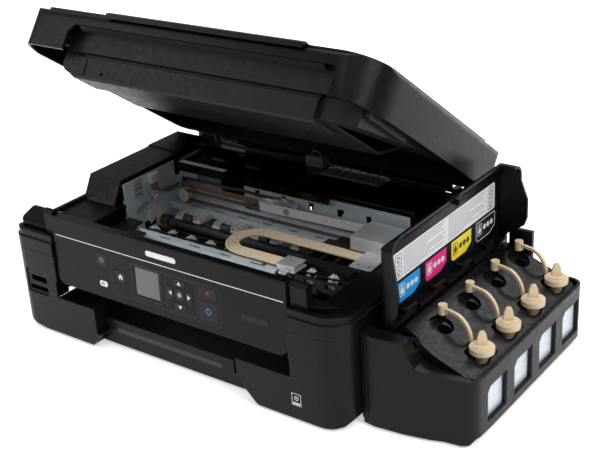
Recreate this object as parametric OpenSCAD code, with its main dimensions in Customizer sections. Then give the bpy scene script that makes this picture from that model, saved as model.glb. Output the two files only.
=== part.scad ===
// Desktop inkjet multifunction printer with a hinged scanner unit and a
// side-mounted refillable ink tank unit. Shown with the scanner raised, the
// tank cover folded back and the four filler caps parked in their holders.
// Millimetres, +X to the right, front face toward -Y, +Z up, base on Z = 0.

/* [Printer body] */
// Width of the printer body without the tank unit
body_w = 390; // [370:1:410]
// Depth of the printer body
body_d = 300; // [292:1:320]
// Top of the front cheeks, where the closed scanner rests
cheek_h = 105; // [104:0.1:105]
// Top of the raised shoulders beside the paper path
shoulder_h = 125; // [118:0.5:128]
// Height of the gloss deck behind the carriage bay
deck_h = 119; // [114:0.5:121]
// Wall thickness of the moulded housings
wall = 2.6; // [2:0.1:3.2]

/* [Control panel] */
// Left edge of the control panel
panel_x = 57; // [55:0.5:60]
// Width of the control panel
panel_w = 277; // [270:1:280]
// Bottom edge of the control panel
panel_z = 60; // [58:0.5:64]
// Height of the control panel
panel_h = 70; // [64:0.5:71]
// Thickness of the control panel
panel_t = 9; // [8.6:0.1:9.2]
// Size of the round OK button
ok_d = 12; // [9:0.5:13]

/* [Scanner unit] */
// Depth of the scanner unit
scan_d = 258; // [250:1:262]
// Height of the scanner shell
scan_t = 40.7; // [39.5:0.1:41]
// Underside of the scanner shell when closed
scan_z = 105.5; // [105.4:0.1:105.8]
// Angle the scanner unit is propped open at
scan_open = 36; // [20:1:40]
// Width of the scanner glass
glass_w = 300; // [297:1:310]
// Depth of the scanner glass
glass_d = 219; // [216:1:224]

/* [Output tray] */
// Width of the pull-out output tray
tray_w = 159.8; // [150:0.2:160]
// Length of the pull-out output tray
tray_l = 150; // [120:1:160]

/* [Ink tank unit] */
// Width of the tank unit
tank_w = 99; // [92:1:105]
// Depth of the tank unit
tank_d = 224; // [215:1:230]
// Number of ink tanks
tank_n = 4; // [3:1:4]
// Spacing of the tanks
tank_pitch = 47.5; // [44:0.5:50]
// Angle the tank cover is folded open at
cover_open = 90; // [60:1:91]
// Diameter of a filler cap flange
cap_d = 21.5; // [18:0.5:23]
// Diameter of a filler port
port_d = 12.4; // [11:0.2:13]

/* [Rollers] */
// Diameter of the paper feed roller
feed_d = 11; // [9:0.5:12]
// Diameter of the eject rollers
eject_d = 12; // [9:0.5:12.5]

/* [Hidden] */

total_w = body_w + tank_w + 0.5;
ox = total_w/2;
oy = body_d/2;
scan_yh = 290.4;
scan_zh = 120.9;
scan_y = 3;
panel_y = 2;
cov_x = 407;
cov_z = 92;
deck_slope = 0.39;
tank_y0 = 84.5;
tx = body_w + tank_w;
tray_x = 103.6;
rim_h = cheek_h + 3.2;
panel_py = panel_y + (panel_t - 3.4)*cos(2) + (panel_h - 4)*sin(2);
panel_pz = panel_z - (panel_t - 3.4)*sin(2) + (panel_h - 4)*cos(2);
scan_top = scan_z + scan_t;
black = [0.09, 0.09, 0.1];
grey = [0.2, 0.2, 0.21];
steel = [0.7, 0.73, 0.75];
white = [0.93, 0.93, 0.92];
cream = [0.93, 0.86, 0.72];

// ---- helpers ----
module place() translate([-ox, -oy, 0]) children();
function arc(cx, cy, r, a0, a1, n = 8) =
  [for (i = [0:n]) [cx + r*cos(a0 + (a1 - a0)*i/n), cy + r*sin(a0 + (a1 - a0)*i/n)]];
// rounded outline, radii ordered front-left, front-right, rear-right, rear-left
function outline(x0, y0, x1, y1, r) = concat(
  arc(x0 + r[0], y0 + r[0], r[0], 180, 270),
  arc(x1 - r[1], y0 + r[1], r[1], 270, 360),
  arc(x1 - r[2], y1 - r[2], r[2], 0, 90),
  arc(x0 + r[3], y1 - r[3], r[3], 90, 180));
module plan(p, z0, z1) translate([0, 0, z0]) linear_extrude(z1 - z0) polygon(p);
module slab(x0, y0, x1, y1, r, z0, z1) plan(outline(x0, y0, x1, y1, r), z0, z1);
module along_x(p, x0, x1) translate([x0, 0, 0]) rotate([90, 0, 90]) linear_extrude(x1 - x0) polygon(p);
module along_y(p, y0, y1) translate([0, y1, 0]) rotate([90, 0, 0]) linear_extrude(y1 - y0) polygon(p);
module box(x0, y0, z0, x1, y1, z1) translate([x0, y0, z0]) cube([x1 - x0, y1 - y0, z1 - z0]);
module rod_x(x0, x1, y, z, d, n = 40) translate([x0, y, z]) rotate([0, 90, 0]) cylinder(h = x1 - x0, d = d, $fn = n);
module rod_y(y0, y1, x, z, d, n = 40) translate([x, y1, z]) rotate([90, 0, 0]) cylinder(h = y1 - y0, d = d, $fn = n);
module rod_z(z0, z1, x, y, d, n = 40) translate([x, y, z0]) cylinder(h = z1 - z0, d = d, $fn = n);
module scanner_at(a = scan_open) translate([0, scan_yh, scan_zh]) rotate([-a, 0, 0]) translate([0, -scan_yh, -scan_zh]) children();
module cover_at(a = cover_open) translate([cov_x, 0, cov_z]) rotate([0, -a, 0]) translate([-cov_x, 0, -cov_z]) children();

// ---- lower case ----
body_plan = outline(0, 0, body_w, body_d, [16, 26, 10, 10]);
inner_plan = outline(wall, wall, body_w - wall, body_d - wall, [13.4, 23.4, 7.4, 7.4]);
module body_profile() along_y([[0, 24], [1.2, 17], [4, 11.5], [9, 7.5], [18, 4.2], [30, 2.4],
  [376, 2.4], [384, 4.2], [389, 9], [390, 14], [390, 200], [0, 200]], -1, body_d + 1);

boss_at = [[20, 270], [370, 270], [20, 70], [372, 70]];
foot_at = [[36, 30], [350, 34], [30, 270], [360, 270], [462, 70], [462, 228]];
module base_case() color(black) place() difference() {
  intersection() {
    union() {
      difference() {
        plan(body_plan, 2.4, 88);
        plan(inner_plan, 5.4, 130);
      }
      // front sill under the output tray and the two blocks beside it
      box(100, 14, 2.4, 290, 17, 16.5);
      along_y([[54, 5], [96, 5], [113, 22], [113, 43], [54, 43]], 0.4, 30);
      along_y([[277, 40], [278, 27], [288, 13], [297, 5], [336, 5], [336, 44], [277, 44]], 0.4, 30);
      // tray guides and runners
      box(tray_x - 4.6, 17, 5.2, tray_x - 0.6, 200, 27);
      box(tray_x + tray_w + 0.6, 17, 5.2, tray_x + tray_w + 4.6, 200, 27);
      box(tray_x - 1, 60, 5.2, tray_x + 3.4, 200, 20.6);
      box(tray_x + tray_w - 3.4, 60, 5.2, tray_x + tray_w + 1, 200, 20.6);
      box(56, 60, 5.2, 60, 250, 50);
      box(300, 60, 5.2, 304, 250, 50);
      // housing of the card slots
      box(12, 1, 38, 46, 22, 64);
      // screw bosses
      for (p = boss_at) rod_z(5.2, 86, p[0], p[1], 9, 24);
    }
    body_profile();
  }
  for (p = boss_at) rod_z(76, 90, p[0], p[1], 2.8, 20);
  for (p = foot_at) rod_z(-1, 3.25, p[0], p[1], 14.3, 40);
  // tray mouth, open from panel to sill
  box(54, -2, 43, 336, 29, 60.5);
  box(56, -2, 60, 335, 40, 140);
  box(103, -2, 16.5, 274, 13.5, 61);
  along_y([[95.2, 0], [97.5, 5], [115, 22.5], [115, 62], [276, 62], [276, 40], [277, 27], [287, 13], [296, 4], [304, 0]], -2, 14);
  box(103, 13, 16.5, 264, 32, 61);
  // card slots in the left cheek
  box(12.5, -2, 40.5, 41.5, 1.5, 66.5);
  box(18.5, -2, 53.5, 40, 18, 59.5);
  box(14.5, -2, 43.5, 40, 18, 48.5);
  // rear openings for power inlet, data socket and the paper feed slot
  box(24, body_d - 6, 16, 46, body_d + 2, 34);
  box(330, body_d - 6, 20, 345, body_d + 2, 34);
  // cable pass-through toward the tanks
  box(body_w - 6, 120, 30, body_w + 2, 150, 44);
  for (i = [0:9]) box(80 + i*9, body_d - 6, 24, 84 + i*9, body_d + 2, 44);
}

// ---- upper housing: cheeks, shoulders and the frame round the bay ----
module upper_housing() color(black) place() difference() {
  union() {
    // wall band
    difference() {
      plan(body_plan, 88.3, cheek_h - 4);
      plan(inner_plan, 80, 140);
    }
    // stepped rim, higher along the front than along the sides
    intersection() {
      difference() {
        slab(1.6, 1.6, body_w - 1.6, body_d - 1.6, [14.5, 24.5, 8.5, 8.5], cheek_h - 4.2, rim_h);
        slab(6, 6, body_w - 6, body_d - 6, [10, 20, 6, 6], cheek_h - 6, rim_h + 1);
      }
      along_x([[-1, 90], [-1, rim_h], [9, rim_h], [24, cheek_h], [body_d + 1, cheek_h], [body_d + 1, 90]], -1, body_w + 1);
    }
    // caps set in from the rim; the left one rises toward the rear
    intersection() {
      slab(3.4, 9.4, body_w - 5, 60, [8, 34, 4, 4], 100, 121);
      union() {
        along_x(concat([[9.4, 100], [9.4, 111]], arc(10.8, 111.2, 1.4, 180, 110, 4),
          [[22, 116.8], [28, 119], [31, 119.2], [34, 118], [38, 113.6], [42, 110.6], [43.5, 104], [43.5, 100]]), 3, 42);
        along_x(concat([[9.4, 100], [9.4, 110.6]], arc(10.8, 110.6, 1.4, 180, 90, 4), [[19, 112], [20, 110.6], [20, 100]]), 340, body_w - 4);
      }
    }
    // cheek tops and their inner walls
    intersection() {
      slab(1.6, 1.6, body_w - 1.6, body_d - 1.6, [14.5, 24.5, 8.5, 8.5], 88.3, cheek_h);
      union() {
        box(0, 0, cheek_h - 3, 43.5, 52, cheek_h);
        box(0, 0, cheek_h - 3, 55.4, 16.2, cheek_h);
        box(41, 13.8, 88.3, 55.4, 16.2, cheek_h);
        box(41, 14, 88.3, 43.5, 52, cheek_h);
        box(41, 49.6, 88.3, 55, 52, cheek_h - 3);
        box(0, 50, cheek_h - 6, 56, 104, cheek_h - 3);
        box(52.4, 49.6, 88.3, 55, 104, cheek_h - 3);
        box(336, 0, cheek_h - 3, body_w, 20.2, cheek_h);
        box(336, 17.8, 88.3, body_w, 20.2, cheek_h);
        box(336, 0, 88.3, 338.6, 20.2, cheek_h);
        box(336, 20, 88.3, body_w, 190, 90);
      }
    }
    // panel pivot brackets
    along_x(concat([[6.8, 104], [6.8, 127]], arc(11, 128.8, 4.2, 180, 0, 8), [[15.2, 104]]), 44.3, 55.4);
    along_x(concat([[6.8, 104], [6.8, 126]], arc(11, 126.8, 4.2, 180, 0, 8), [[15.2, 104]]), 335.8, 353);
    // left shoulder
    along_x([[94, 100], [97, 104], [109, shoulder_h], [196, shoulder_h], [199, shoulder_h + 1.5], [246, shoulder_h + 1.5],
      [248, deck_h - 4], [248, 88.3], [94, 88.3]], 4, 6.6);
    along_x([[94, 100], [97, 104], [109, shoulder_h], [196, shoulder_h], [199, shoulder_h + 1.5], [246, shoulder_h + 1.5],
      [246, shoulder_h - 1.3], [199.6, shoulder_h - 1.3], [196, shoulder_h - 2.8], [110, shoulder_h - 2.8], [99, 102], [97, 98]], 4, 47);
    // right shoulder
    along_x([[70, 88.3], [70, 98], [84, 104], [196, 104], [199, 112], [246, 112], [248, 104], [248, 88.3]], body_w - 6.6, body_w - 4);
    along_x([[196, 104], [199, 112], [246, 112], [246, 109.4], [199.8, 109.4], [196, 101]], 352, body_w - 4);
    // rear paper feed slot and hopper
    box(4, 262, 88.3, body_w - 4, 264.6, 100);
    box(4, 262, 88.3, 46, 297, 108);
    box(344, 262, 88.3, body_w - 4, 297, 108);
    box(46, 270, 97.8, 344, 289.4, 100.8);
    box(54, 286, 97.8, 59.6, 297, 107.5);
    box(330.4, 286, 97.8, 336, 297, 107.5);
    // hinge sockets for the scanner
    for (x = [8, 34, 350, 376]) along_x(concat([[276, 96], [276, 121]], arc(290.4, 120.9, 7.1, 150, -20, 8), [[297.5, 96]]), x, x + 6);
  }
  // control panel bay
  box(55.4, -2, 80, 335.8, 14.2, 140);
  rod_x(40, 360, panel_py, panel_pz, 4.7, 24);
  rod_x(0, body_w, scan_yh, scan_zh, 6.4);
  // room for the paper support to lean back
  box(60, 291, 96, 330, body_d + 1, 110);
  rod_x(56, 334, 292.5, 103, 4.7, 24);
  // vents on the left side
  for (i = [0:7]) box(-2, 130 + i*8, 92, 8, 133 + i*8, 98);
}

// ---- gloss deck behind the carriage bay ----
module rear_deck() color([0.03, 0.03, 0.035]) place() difference() {
  union() {
    box(48.5, 186, deck_h - 2.6, 342, 254, deck_h);
    box(48.5, 186, deck_h - 8, 342, 188.6, deck_h);
    box(48.5, 186, 104, 51.1, 254, deck_h);
    box(339.4, 186, 104, 342, 254, deck_h);
    box(56, 251.4, 100, 338, 254, deck_h);
    // raised sockets on the deck
    for (x = [80, 126, 196, 250]) box(x, 214, deck_h - 0.1, x + 18, 222, deck_h + 1.6);
    for (x = [98, 170, 226]) box(x, 236, deck_h - 0.1, x + 10, 240, deck_h + 1.2);
  }
  for (x = [80, 126, 196, 250]) box(x + 3, 216, deck_h - 4, x + 15, 220, deck_h + 3);
  box(250, 180, deck_h - 20, 343, 196, deck_h + 3);
}

// ---- sheet metal chassis ----
module chassis() color(steel) place() difference() {
  union() {
    box(50, 106, 58, 51.2, 258, 103.8);
    box(50, 108, 103, 51.2, 185, 121.5);
    box(50, 192, 52, 343, 193.2, 103.8);
    box(51.5, 192, 103.7, 339, 193.2, 114.5);
    box(51.5, 189, 113.2, 339, 193.2, 114.5);
    box(341.8, 106, 58, 343, 192.5, 88);
    box(50, 106, 58, 60, 107.2, 80);
    box(50, 166, 58, 343, 192.5, 59.2);
    // flange that carries the feed motor
    box(341.8, 148, 30, 343, 178, 60);
    // idler axle
    rod_y(177.6, 192.5, 66, 86.5, 2.6, 20);
  }
  for (i = [0:6]) box(86 + i*34, 190.5, 98, 92 + i*34, 196, 106);
  for (i = [0:4]) box(104 + i*46, 190, 64, 110 + i*46, 196, 68);
  box(76, 190, 92, 140, 196, 110);
  rod_y(190, 196, 160, 100, 5, 24);
  rod_y(190, 196, 262, 104, 5, 24);
  rod_y(190, 196, 326, 86.5, 6, 24);
  box(48, 132, 62, 53, 168, 70);
  box(48, 146, 84, 53, 158, 94);
  rod_x(49, 52, 158, 64, 8, 24);
  rod_x(341, 344, 158, 64, 8, 24);
  rod_x(49, 52, 112, 62, 6, 24);
  rod_x(341, 344, 112, 62, 6, 24);
  rod_x(341, 344, 162, 44.6, 5, 24);
}

// ---- carriage guide rail: folded sheet with a lip ----
module carriage_rail() color(steel) place() difference() {
  union() {
    box(53, 172, 76, 340, 190.5, 77.4);
    box(53, 172, 72, 340, 173.4, 79.4);
    box(53, 189.2, 72, 340, 190.6, 84);
  }
  for (i = [0:7]) box(76 + i*32, 178, 74, 88 + i*32, 182, 79);
}

module front_rail() color(steel) place() difference() {
  union() {
    box(60, 88, 82.6, 256, 98, 84);
    box(60, 88, 72, 256, 89.4, 84);
    box(60, 96.6, 78, 256, 98, 84);
  }
  for (i = [0:4]) box(72 + i*38, 91, 80, 86 + i*38, 94, 86);
}

// ---- platen with ribs and foam channels ----
module platen() color([0.05, 0.05, 0.055]) place() difference() {
  union() {
    box(62, 119, 50, 332, 150, 57);
    for (i = [0:22]) box(66 + i*11.6, 119, 56.9, 67.6 + i*11.6, 150, 59.6);
    box(62, 99.5, 50, 332, 102, 80);
    box(62, 99.5, 50, 332, 120, 53);
  }
  for (i = [0:21]) box(69.5 + i*11.6, 128, 54, 75.8 + i*11.6, 142, 58);
  // paper exit and the slots over it
  box(70, 98, 58, 324, 103, 70);
  for (i = [0:10]) box(72 + i*23.2, 98, 72.5, 84 + i*23.2, 103, 77.5);
}

// ---- translucent holders that press the pinch rollers down ----
module roller_holders() color(white) place() for (i = [0:4]) difference() {
  union() {
    along_x([[158.6, 75.4], [153, 74.6], [152.6, 72.4], [158, 71.6], [170, 71.8], [172, 73], [172, 76], [168, 78.5]], 76 + i*50, 110 + i*50);
    for (k = [0:4]) box(78.2 + i*50 + k*7, 154, 74, 79.6 + i*50 + k*7, 170, 78.4);
  }
  box(86 + i*50, 150, 68, 100 + i*50, 160.6, 80);
  rod_x(83.8 + i*50, 102.2 + i*50, 155.6, 74.2, 2.6, 20);
}

module feed_roller() color([0.5, 0.5, 0.5]) place() difference() {
  union() {
    rod_x(49.4, 349, 158, 64, 6);
    rod_x(66, 330, 158, 64, feed_d, 48);
    rod_x(54, 64, 158, 64, 13, 24);
    rod_x(344.2, 349, 158, 64, 30, 48);
  }
  for (a = [0:30:330]) translate([346.6, 158, 64]) rotate([a, 0, 0]) translate([0, 0, 10.5]) rotate([0, 90, 0]) cylinder(h = 8, d = 2.6, center = true, $fn = 16);
  for (a = [0:90:270]) translate([59, 158, 64]) rotate([a, 0, 0]) translate([0, 0, 6.5]) cube([4, 1, 1], center = true);
}

module pinch_rollers() color(grey) place() for (i = [0:4]) union() {
  rod_x(87.4 + i*50, 98.6 + i*50, 155.6, 74.2, 8.6, 24);
  rod_x(84.4 + i*50, 101.6 + i*50, 155.6, 74.2, 2, 16);
}

module eject_roller() color(grey) place() union() {
  rod_x(49.4, 348.4, 112, 62, 4.4);
  for (i = [0:8]) rod_x(78 + i*29, 86 + i*29, 112, 62, eject_d, 32);
  rod_x(344.4, 348.4, 112, 62, 22, 40);
}

// ---- belt drive of the carriage ----
module drive_belt() color([0.35, 0.22, 0.14]) place() difference() {
  along_y(concat(arc(66, 86.5, 5.6, 90, 270, 16), arc(326, 86.5, 5.6, -90, 90, 16)), 180.4, 184.4);
  along_y(concat(arc(66, 86.5, 4.4, 90, 270, 16), arc(326, 86.5, 4.4, -90, 90, 16)), 179, 186);
}

module idler_pulley() color(white) place() difference() {
  union() {
    rod_y(180, 184.8, 66, 86.5, 8.2, 32);
    rod_y(178.9, 180, 66, 86.5, 14, 32);
    rod_y(184.8, 185.9, 66, 86.5, 14, 32);
  }
  rod_y(178, 187, 66, 86.5, 3, 24);
}

module motor_pulley() color([0.75, 0.66, 0.4]) place() difference() {
  union() {
    rod_y(180, 184.8, 326, 86.5, 8.2, 32);
    rod_y(178.9, 180, 326, 86.5, 14, 32);
    rod_y(184.8, 185.9, 326, 86.5, 14, 32);
  }
  rod_y(178, 187, 326, 86.5, 3, 24);
}

module carriage_motor() color([0.55, 0.56, 0.58]) place() union() {
  rod_y(193.5, 236, 326, 86.5, 27, 48);
  rod_y(178.4, 194, 326, 86.5, 2.4, 20);
  rod_y(236, 239, 326, 86.5, 10, 32);
}

module encoder_strip() color([0.6, 0.5, 0.42]) place() union() {
  box(60, 186.9, 92.5, 336, 187.3, 98.5);
  box(57, 186.2, 91, 61, 191.9, 100);
  box(334, 186.2, 91, 338, 191.9, 100);
}

// ---- carriage parked at the right over the capping station ----
module print_carriage() color([0.06, 0.06, 0.065]) place() difference() {
  union() {
    box(262, 122, 66, 330, 150.5, 85.6);
    box(266, 126, 62, 326, 150.5, 66.2);
    box(262, 150.4, 79.8, 330, 168, 85.6);
    box(270, 167, 79.8, 322, 178.6, 85.6);
    along_x([[122, 78], [118.5, 79], [118.5, 84], [122, 85.6]], 270, 322);
    box(288, 178, 80.2, 304, 179.8, 90);
  }
  for (i = [0:3]) box(265.6 + i*15.6, 126.4, 70, 278.4 + i*15.6, 147.4, 90);
}

// ---- four ink tubes laid side by side ----
module tube(i) translate([206, 123.4, 87.6]) {
  o = 16.5 + i*3.5;
  rotate([0, 0, 90]) rotate_extrude(angle = 180, $fn = 64) translate([o, 0]) circle(d = 3.4, $fn = 16);
  translate([0, -o, 0]) rotate([0, 90, 0]) cylinder(h = 58, d = 3.4, $fn = 16);
  translate([0, o, 0]) rotate([0, 90, 0]) cylinder(h = 130, d = 3.4, $fn = 16);
}
module ink_tubes() color(cream) place() for (i = [0:3]) tube(i);

module tube_clamp() color([0.8, 0.82, 0.84]) place() difference() {
  union() {
    box(256, 92, 84.4, 276, 111, 86);
    box(256, 92, 89.6, 276, 111, 90.8);
    box(256, 92, 84.4, 276, 93.6, 90.8);
    box(262, 86, 84.4, 270, 93, 86);
  }
  rod_z(80, 95, 266, 89, 3, 20);
}

// ---- flat ribbon standing on edge, looped back on itself ----
module ribbon_cable() color(white) place() plan(concat(
  [[330, 178.6], [300, 178.6], [190, 174.6]], arc(176, 179.4, 5.4, 250, 100, 10), [[212, 186.4], [212, 185.8], [176, 184.2]],
  arc(176, 179.4, 4.8, 100, 250, 10), [[190, 175.2], [300, 179.2], [330, 179.2]]), 94, 103.4);

module carriage_bay_cover() color([0.72, 0.74, 0.75]) place() difference() {
  union() {
    box(300, 150, 104, 341, 186, 105.2);
    box(300, 149, 91.6, 341, 150.2, 105.2);
    along_x([[120, 90.2], [149.6, 91.6], [149.6, 92.8], [120, 91.4]], 318, 341);
    box(339.8, 150, 90.3, 341, 186, 105.2);
  }
  rod_z(88, 100, 336, 126, 3, 20);
  rod_z(88, 100, 324, 126, 3, 20);
}

module side_duct() color(black) place() difference() {
  union() {
    along_x([[62, 70], [62, 84], [70, 88], [86, 88], [86, 85.4], [71, 85.4], [64.6, 82], [64.6, 70]], 57, 98);
    box(57, 62, 70, 59.4, 104, 86);
    box(57, 84, 85.4, 76, 105, 88);
  }
  box(64, 60, 73, 74, 67, 80);
  box(80, 60, 73, 90, 67, 80);
}

module power_supply() color([0.12, 0.12, 0.12]) place() difference() {
  box(27, 205, 5.45, 53, 290, 46);
  for (i = [0:6]) box(25, 214 + i*8, 14, 31, 218 + i*8, 40);
  box(31, 286, 18, 47, 292, 32);
}

module main_board() color([0.05, 0.3, 0.16]) place() union() {
  box(308, 190, 10, 362, 290, 11.6);
  box(318, 206, 11.5, 340, 228, 14);
  box(346, 236, 11.5, 357, 248, 13.4);
  for (i = [0:3]) box(311 + i*12.4, 262, 11.5, 321 + i*12.4, 267, 17);
  for (p = [[312, 194], [358, 194], [312, 286], [358, 286]]) rod_z(5.45, 10.1, p[0], p[1], 6, 20);
}

module feed_motor() color([0.55, 0.56, 0.58]) place() union() {
  rod_x(309, 341.7, 162, 44.6, 24, 48);
  rod_x(341.6, 349, 162, 44.6, 2.4, 20);
  rod_x(345, 349, 162, 44.6, 9, 24);
}

module waste_ink_pad() color([0.85, 0.85, 0.84]) place() union() {
  box(110, 210, 5.45, 290, 255, 26);
  box(110, 256, 5.45, 240, 285, 22);
}

module rubber_feet() color([0.04, 0.04, 0.04]) place()
  for (p = foot_at) rod_z(0, 3.2, p[0], p[1], 14, 40);

module chassis_screws() color([0.6, 0.6, 0.62]) place() {
  for (p = boss_at) difference() {
    union() {
      rod_z(86.1, 88.2, p[0], p[1], 6, 24);
      rod_z(78, 86.2, p[0], p[1], 2.6, 16);
    }
    translate([p[0], p[1], 88]) cube([4, 0.9, 1.6], center = true);
    translate([p[0], p[1], 88]) cube([0.9, 4, 1.6], center = true);
  }
}

module rear_sockets() color([0.08, 0.08, 0.08]) place() union() {
  difference() {
    box(24.4, 290.4, 16.4, 45.6, 299.6, 33.6);
    box(28, 293, 20, 42, 301, 30);
  }
  box(31, 292, 23.8, 32.6, 298.4, 26.2);
  box(37.4, 292, 23.8, 39, 298.4, 26.2);
  difference() {
    box(330.4, 288, 20.4, 344.6, 299.6, 33.6);
    box(332.4, 291, 22.4, 342.6, 301, 31.6);
  }
  box(335, 290, 25, 340, 295.4, 29);
}

// ---- scanner unit ----
shell_plan = outline(0, scan_y, body_w, scan_y + scan_d, [12, 42, 14, 12]);
shell_in = outline(3, scan_y + 3, body_w - 3, scan_y + scan_d - 3, [9.5, 39, 11, 9.5]);
module scanner_shell() color(black) place() scanner_at() difference() {
  intersection() {
    plan(shell_plan, scan_z, scan_top);
    along_x(concat([[-1, 100]], arc(scan_y + 7, scan_top - 7, 7, 180, 90, 6), [[270, scan_top], [270, 100]]), -1, body_w + 1);
    along_y(concat([[-1, 100], [-1, scan_top - 5]], arc(5, scan_top - 5, 5, 180, 90, 6),
      arc(body_w - 8, scan_top - 8, 8, 90, 0, 6), [[body_w, 100]]), -1, 270);
  }
  plan(shell_in, scan_z - 2, scan_top - 4);
  // lower edge steps up along the front to meet the raised rim
  along_x([[-1, 100], [-1, rim_h + 0.4], [9.2, rim_h + 0.4], [25, scan_z - 0.1], [25, 100]], -1, body_w + 1);
  // opening over the glass
  box(38, 24, scan_z, 38 + glass_w - 6, 24 + glass_d - 6, scan_top + 2);
  // seat for the document cover and its hinge knuckles
  slab(9, 9, body_w - 9, scan_y + scan_d - 22, [8, 34, 5, 5], scan_top - 2.6, scan_top + 2);
  for (x = [60, 318]) rod_x(x - 0.6, x + 14.6, scan_y + scan_d - 22, scan_top + 1.2, 6.4, 24);
  // recess that clears the control panel
  along_y([[53, 100], [53, 127], [60, 134], [349.5, 134], [352, 131], [352, 100]], -2, 8);
  // reliefs for the hinge arms
  box(12, 246, 123.2, 38, 266, 140);
  box(352, 246, 123.2, 378, 266, 140);
}

belly_out = [[20, 88], [18, 90], [17, 108.6], [19.4, 109.6], [19.4, 111.4], [16, 112.4], [16, 131.6], [9.5, 134.6], [9.5, 137.4],
  [244, 137.4], [244, 121.6], [184, 121.6], [150, 107.6], [118, 92.2], [56, 92], [52, 88]];
belly_in = [[22.6, 90.4], [20.6, 92.4], [19.8, 107.4], [22, 108.6], [22, 112.6], [18.4, 114.6], [18.4, 133.2], [12, 136.2], [12, 140],
  [241.6, 140], [241.6, 124], [183.4, 124], [148.8, 110], [117.2, 94.7], [54.8, 94.4], [50.8, 90.4]];
module scanner_tray() color([0.13, 0.13, 0.14]) place() scanner_at() difference() {
  union() {
    along_x(belly_out, 59, 335.6);
    along_x([[22, 92], [118, 92.2], [150, 107.6], [184, 121.6], [244, 121.6], [244, 137.4], [22, 137.4]], 335.5, 344.1);
    // right wing with its sloping floor and side bar
    along_x([[22, 92], [196, 114.2], [242, 120], [242, 137.4], [22, 137.4]], 344, 376);
    along_x([[26, 101], [24, 103], [24, 107], [84, 107], [90, 105], [90, 101]], 375.9, 382.4);
    // left end block and its locating foot
    along_y([[44.2, 137.4], [44.2, 99], [48, 94], [59.1, 90], [59.1, 137.4]], 19, 49);
    along_x([[30, 120], [30, 137], [40, 137], [40, 123], [36, 120]], 24, 45);
    box(59, 16.6, 91, 75, 22, 108);
    // wall behind the panel recess
    box(53.4, 16, 112.4, 351.6, 18.4, 137.4);
    box(53.4, 16, 112.4, 55.6, 21, 137.4);
    box(349.2, 16, 112.4, 351.6, 24, 137.4);
    // shallow pan under the glass
    box(16, 26, 127.6, 376, 240, 137.4);
  }
  difference() {
    union() {
      along_x(belly_in, 61.4, 333.4);
      along_x([[24.4, 94.4], [117.2, 94.7], [148.8, 110], [183.4, 124], [241.6, 124], [241.6, 140], [24.4, 140]], 333.3, 346.5);
      along_x([[24.4, 94.4], [195.6, 116.7], [239.6, 122.6], [239.6, 140], [24.4, 140]], 346.4, 373.6);
      box(18.4, 28.4, 130, 373.6, 237.6, 140);
      box(46.6, 21.4, 101.5, 61.5, 46.6, 140);
    }
    // guide rod of the scan head
    rod_x(18, 374, 130, 131.4, 5, 24);
  }
  along_y([[50, 80], [58.9, 90], [62.4, 87.9], [66, 80]], 0, 260);
  rod_y(10, 24, 97, 95, 3, 20);
}

module scanner_glass() color([0.75, 0.85, 0.88, 0.5]) place() scanner_at()
  box(35, 21, scan_top - 6.8, 35 + glass_w, 21 + glass_d, scan_top - 4);

module scanner_hinges() color(grey) place() scanner_at() for (x = [15, 357]) union() {
  along_x(concat(arc(scan_yh, scan_zh, 6.5, -90, 90, 10), [[264, 134], [257.6, 139.6], [256, scan_top - 4], [242.4, scan_top - 4],
    [242.4, 128], [262, 124], [276, 115.4]]), x, x + 18);
  rod_x(x - 6, x + 24, scan_yh, scan_zh, 5.4, 24);
}

module scan_head() color([0.1, 0.1, 0.1]) place() scanner_at() difference() {
  box(24, 31, 131, 42, 235.6, 137.2);
  box(27, 35, 135.6, 39, 231, 139);
  rod_x(20, 46, 130, 131.4, 5.8, 24);
  box(20, 127.1, 128, 46, 132.9, 131.4);
}

module document_cover() color(black) place() scanner_at() union() {
  difference() {
    slab(9.6, 9.6, body_w - 9.6, scan_y + scan_d - 22.6, [7.4, 33.4, 4.4, 4.4], scan_top - 2.2, scan_top + 2.6);
    slab(30, 18, 344, 236, [4, 4, 4, 4], scan_top - 3, scan_top - 0.4);
  }
  // raised pull lip along the front edge
  along_x([[10.4, scan_top], [4, scan_top + 0.6], [2.4, scan_top - 2.6], [1, scan_top - 3.2],
    [0.2, scan_top + 1.4], [4, scan_top + 3.4], [12, scan_top + 2.6]], 96, 316);
  for (x = [60, 318]) rod_x(x, x + 14, scan_y + scan_d - 22, scan_top + 1.2, 5, 24);
}

module document_pad() color(white) place() scanner_at()
  slab(36, 22, 36 + glass_w - 2, 235, [3, 3, 3, 3], scan_top - 2.2, scan_top - 0.5);

// ---- control panel ----
module panel_at() translate([0, panel_y, panel_z]) rotate([-2, 0, 0]) children();
panel_face = [for (p = outline(panel_x, 0, panel_x + panel_w, panel_h, [11, 11, 2, 2])) p];
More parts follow.
